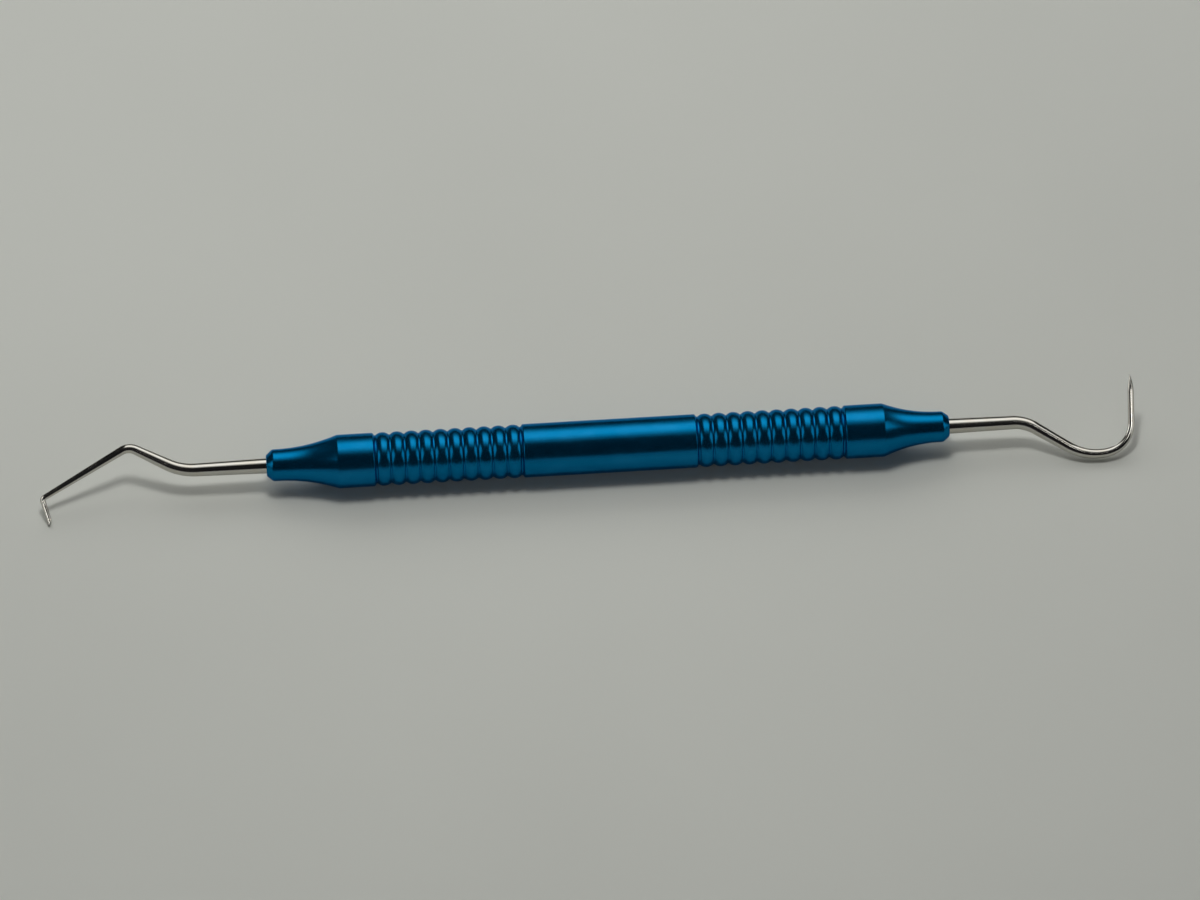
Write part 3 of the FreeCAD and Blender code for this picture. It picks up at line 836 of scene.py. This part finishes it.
class SCALER_OT_cones(Operator):
    """Turn the two screw-in cones"""
    bl_idname = "scaler.cones"
    bl_label = "Screw-in Cones"

    def execute(self, context):
        for end in ENDS:
            self.build(context, end)
        return {"FINISHED"}

    def build(self, context, end):
        """One cone, drawn with x outwards from its spigot's inner end, then put in its place."""
        scene = context.scene
        handle, sizes, tip = scene.scaler_handle, scene.scaler_cone, scene.scaler_tip
        low, high = CONE_BOXES[end]
        face = high.x - low.x
        inner = low.x if end == "sickle" else high.x
        shoulder = BARREL_HALF - abs(inner)
        nose, flare = getattr(sizes, f"{end}_nose"), getattr(sizes, f"{end}_flare")
        spigot, neck = sizes.spigot_radius, shoulder - sizes.neck_length
        flare_end = face - sizes.nose_bevel - sizes.nose_land
        lip = shoulder + handle.floor_width / 2
        drop = HANDLE_RADIUS - nose
        hollow = (flare ** 2 + drop ** 2) / (2 * drop)
        start = [Vector((0, 0, 0)), Vector((0, spigot - sizes.lead_in, 0))]
        threads = thread_points(sizes.lead_in, neck, spigot, sizes.thread_pitch)
        outside = [
            (neck, spigot, 0), (neck, sizes.neck_radius, SEAT_SOFTNESS),
            (shoulder, sizes.neck_radius, SEAT_SOFTNESS),
            (shoulder, handle.valley_radius, SHOULDER_SOFTNESS),
            (lip, handle.valley_radius, SHOULDER_SOFTNESS),
            (lip + handle.edge_rise, HANDLE_RADIUS, CREST_SOFTNESS)]
        for step in range(FLARE_STEPS + 1):
            x = flare * (1 - step / FLARE_STEPS)
            radius = nose + hollow - math.sqrt(hollow ** 2 - x ** 2)
            outside.append((flare_end - x, radius, 0 if step else FLARE_SOFTNESS))
        outside += [
            (flare_end + sizes.nose_land, nose, NOSE_SOFTNESS),
            (face, sizes.nose_face_radius, FLARE_SOFTNESS),
            (face, tip.tang_radius, SOCKET_SOFTNESS), (face - tip.tang_length, tip.tang_radius, 0),
            (face - tip.tang_length, 0, 0)]
        cone = turned(f"{end}_cone", [(start, None), threads, (softened(outside)[1:], None)], sizes,
                      finish_named(context, "anodised_blue"))
        close_up(cone)
        cone.data.transform(Matrix.Translation((inner, 0, 0)) @ facing(end))
        cone.data.update()
        claim(cone, f"{end}_end", "anodised_handle", f"{end}_end_cone")


class SCALER_OT_seals(Operator):
    """Mould the two hidden seal rings"""
    bl_idname = "scaler.seals"
    bl_label = "Seal Rings"

    def execute(self, context):
        sizes = context.scene.scaler_cone
        for end in ENDS:
            low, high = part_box(f"{end}_end_seal")
            middle = (low.x + high.x) / 2
            loop = []
            for step in range(SEAL_STEPS + 1):
                angle = 2 * math.pi * (step % SEAL_STEPS) / SEAL_STEPS
                loop.append(Vector((middle + sizes.seal_section * math.cos(angle),
                                    sizes.seal_ring + sizes.seal_section * math.sin(angle), 0)))
            seal = turned(f"{end}_seal_ring", [(loop, None)], sizes, finish_named(context, "seal_rubber"))
            close_up(seal)
            claim(seal, f"{end}_seal", "seal_rubber", f"{end}_end_seal")
        return {"FINISHED"}


class SCALER_OT_angled_tip(Operator):
    """Bend the angled steel tip and grind its blade"""
    bl_idname = "scaler.angled_tip"
    bl_label = "Angled Tip"

    def execute(self, context):
        tip, sizes = context.scene.scaler_tip, context.scene.scaler_angled
        radii = [radius * MM for radius in ANGLED_RADII]
        runs = [(tip.tang_length, radii[0]), (sizes.shank, radii[1]), (sizes.bend1, sizes.turn1, radii[2]),
                (sizes.rise, radii[3]), (sizes.bend2, sizes.turn2, radii[4]), (sizes.arm, radii[5]),
                (sizes.bend3, sizes.turn3, radii[6]), (sizes.blade, radii[7])]
        stations = rounded_tang(rod_stations(tip.tang_radius, runs, tip.tang_length))
        end = stations[-1].distance
        root = end - sizes.blade
        slope = math.tan(sizes.bevel)
        depth = BEVEL_SPREAD * stations[-1].radius * slope
        for station in stations:
            station.ground = min(1, max(0, (station.distance - root) / BLADE_GRIND))
            share = max(0, (station.distance - end + depth) / depth)
            station.lean = -slope * share
            station.place -= station.along * stations[-1].radius * slope * share
        last = stations[-1]
        for scale in (0.9, 0.0):
            cap = Station(last.place + last.along * END_CROWN, last.heading, last.radius * scale, end)
            cap.ground, cap.lean = 1.0, last.lean
            stations.append(cap)
        rod = skin_rod("angled_tip_rod", stations, -1, end_matrix("angled", tip.lie),
                       bpy.data.node_groups["bent_blade_rod"], finish_named(context, "polished_steel"))
        claim(rod, "angled_end", "tip_steel", "angled_tip")
        return {"FINISHED"}


class SCALER_OT_sickle_tip(Operator):
    """Bend the sickle tip and grind its pointed blade"""
    bl_idname = "scaler.sickle_tip"
    bl_label = "Sickle Tip"

    def execute(self, context):
        tip, sizes = context.scene.scaler_tip, context.scene.scaler_sickle
        radii = [radius * MM for radius in SICKLE_RADII]
        runs = [(tip.tang_length, radii[0]), (sizes.shank, radii[1]), (sizes.bend1, sizes.turn1, radii[2]),
                (sizes.slope, radii[3]), (sizes.bend2, sizes.turn2, radii[4]),
                (sizes.bend3, sizes.turn3, radii[5]), (sizes.blade, radii[6]), (sizes.point, radii[7])]
        stations = rounded_tang(rod_stations(tip.tang_radius, runs, tip.tang_length))
        end = stations[-1].distance
        point = end - sizes.point
        point_start, point_end = radii[-2:]
        grind = point - sizes.blade - sizes.bend3 * sizes.turn3 + SICKLE_GRIND_START
        for station in stations:
            station.ground = min(1, max(0, (station.distance - grind) / SICKLE_GRIND))
            if station.distance > point:
                share = (station.distance - point) / sizes.point
                station.radius = point_end + (point_start - point_end) * (1 - share ** POINT_CURVE)
                inward = Vector((-station.along.y, station.along.x, 0))
                station.place += inward * POINT_OFFSET * (point_start - station.radius)
        last = stations[-1]
        stations.append(Station(last.place + last.along * last.radius, last.heading, 0.0, end))
        rod = skin_rod("sickle_tip_rod", stations, 1, end_matrix("sickle", tip.lie),
                       bpy.data.node_groups["bent_sickle_rod"], finish_named(context, "polished_steel"))
        claim(rod, "sickle_end", "tip_steel", "sickle_tip")
        return {"FINISHED"}


class SCALER_OT_stage(Operator):
    """Set up the surface, the lamps and the camera"""
    bl_idname = "scaler.stage"
    bl_label = "Stage"

    def execute(self, context):
        scene = context.scene
        self.lay_surface(context)
        tips = bpy.data.collections.new("steel_tips")
        for name in ("angled_tip_rod", "sickle_tip_rod"):
            tips.objects.link(bpy.data.objects[name])
        for name, size, strength, elevation, bearing, reach, shift, lit in LAMPS:
            lamp = self.hang_lamp(context, name, size, strength, math.radians(elevation),
                                  math.radians(bearing), reach)
            lamp.location.x += shift
            lamp.visible_glossy, lamp.visible_diffuse = lit != "FLOOR", lit == "FLOOR"
            if lit == "TIPS":
                lamp.light_linking.receiver_collection = tips
        world = bpy.data.worlds.new("studio")
        world.use_nodes = True
        backdrop = world.node_tree.nodes["Background"]
        backdrop.inputs["Color"].default_value = (*ROOM_SHADE, 1.0)
        scene.world = world
        scene.view_settings.view_transform = "Standard"
        self.place_camera(context)
        return {"FINISHED"}

    def lay_surface(self, context):
        """A large flat card under the scaler."""
        mesh = bpy.data.meshes.new("surface")
        corners = [(x * SURFACE_HALF, y * SURFACE_HALF, SURFACE_Z) for x, y in
                   ((-1, -1), (1, -1), (1, 1), (-1, 1))]
        mesh.from_pydata(corners, [], [(0, 1, 2, 3)])
        mesh.materials.append(finish_named(context, "pale_card"))
        surface = bpy.data.objects.new("surface", mesh)
        context.collection.objects.link(surface)

    def hang_lamp(self, context, name, size, strength, elevation, bearing, reach):
        """A soft rectangular lamp that faces the handle's middle."""
        data = bpy.data.lights.new(name, "AREA")
        data.shape = "RECTANGLE"
        data.size, data.size_y = size
        data.energy = strength * math.pi * size[0] * size[1]
        data.color = LAMP_SHADE
        lamp = bpy.data.objects.new(name, data)
        context.collection.objects.link(lamp)
        way = Vector((math.sin(bearing) * math.cos(elevation), math.cos(bearing) * math.cos(elevation),
                      math.sin(elevation)))
        lamp.location = way * reach
        lamp.rotation_euler = way.to_track_quat("Z", "Y").to_euler()
        lamp.visible_camera = False
        return lamp

    def place_camera(self, context):
        """A level camera in front of the handle, looking down at it."""
        settings = context.scene.scaler_stage
        elevation, swing = settings.elevation, settings.swing
        look = Vector((math.sin(swing) * math.cos(elevation), math.cos(swing) * math.cos(elevation),
                       -math.sin(elevation)))
        right = Vector((math.cos(swing), -math.sin(swing), 0))
        up = right.cross(look)
        data = bpy.data.cameras.new("camera")
        data.lens = settings.lens
        data.clip_start, data.clip_end = CLIP
        camera = bpy.data.objects.new("camera", data)
        context.collection.objects.link(camera)
        camera.location = right * settings.aim_right + up * settings.aim_up - look * settings.distance
        camera.rotation_euler = Matrix((right, up, -look)).transposed().to_euler()
        context.scene.camera = camera


OPERATORS = (
    SCALER_OT_trees, SCALER_OT_barrel, SCALER_OT_cones, SCALER_OT_seals,
    SCALER_OT_angled_tip, SCALER_OT_sickle_tip, SCALER_OT_stage,
)


class SCALER_PT_panel(Panel):
    """Sidebar panel that lists the scaler's pieces and its stage"""
    bl_label = "Hand Scaler"
    bl_idname = "SCALER_PT_panel"
    bl_space_type = "VIEW_3D"
    bl_region_type = "UI"
    bl_category = "Scaler"

    def draw(self, context):
        column = self.layout.column(align=True)
        for operator in OPERATORS:
            column.operator(operator.bl_idname)
        for key in GROUPS:
            group = getattr(context.scene, key)
            box = self.layout.box()
            for setting in group.__annotations__:
                box.prop(group, setting)


CLASSES = (*GROUPS.values(), *OPERATORS, SCALER_PT_panel)


def register():
    for item in CLASSES:
        bpy.utils.register_class(item)
    for key, group in GROUPS.items():
        setattr(bpy.types.Scene, key, PointerProperty(type=group))


def unregister():
    for key in GROUPS:
        delattr(bpy.types.Scene, key)
    for item in reversed(CLASSES):
        bpy.utils.unregister_class(item)


def main():
    """Build everything in order."""
    register()
    for operator in OPERATORS:
        family, name = operator.bl_idname.split(".")
        getattr(getattr(bpy.ops, family), name)()


if __name__ == "__main__":
    main()
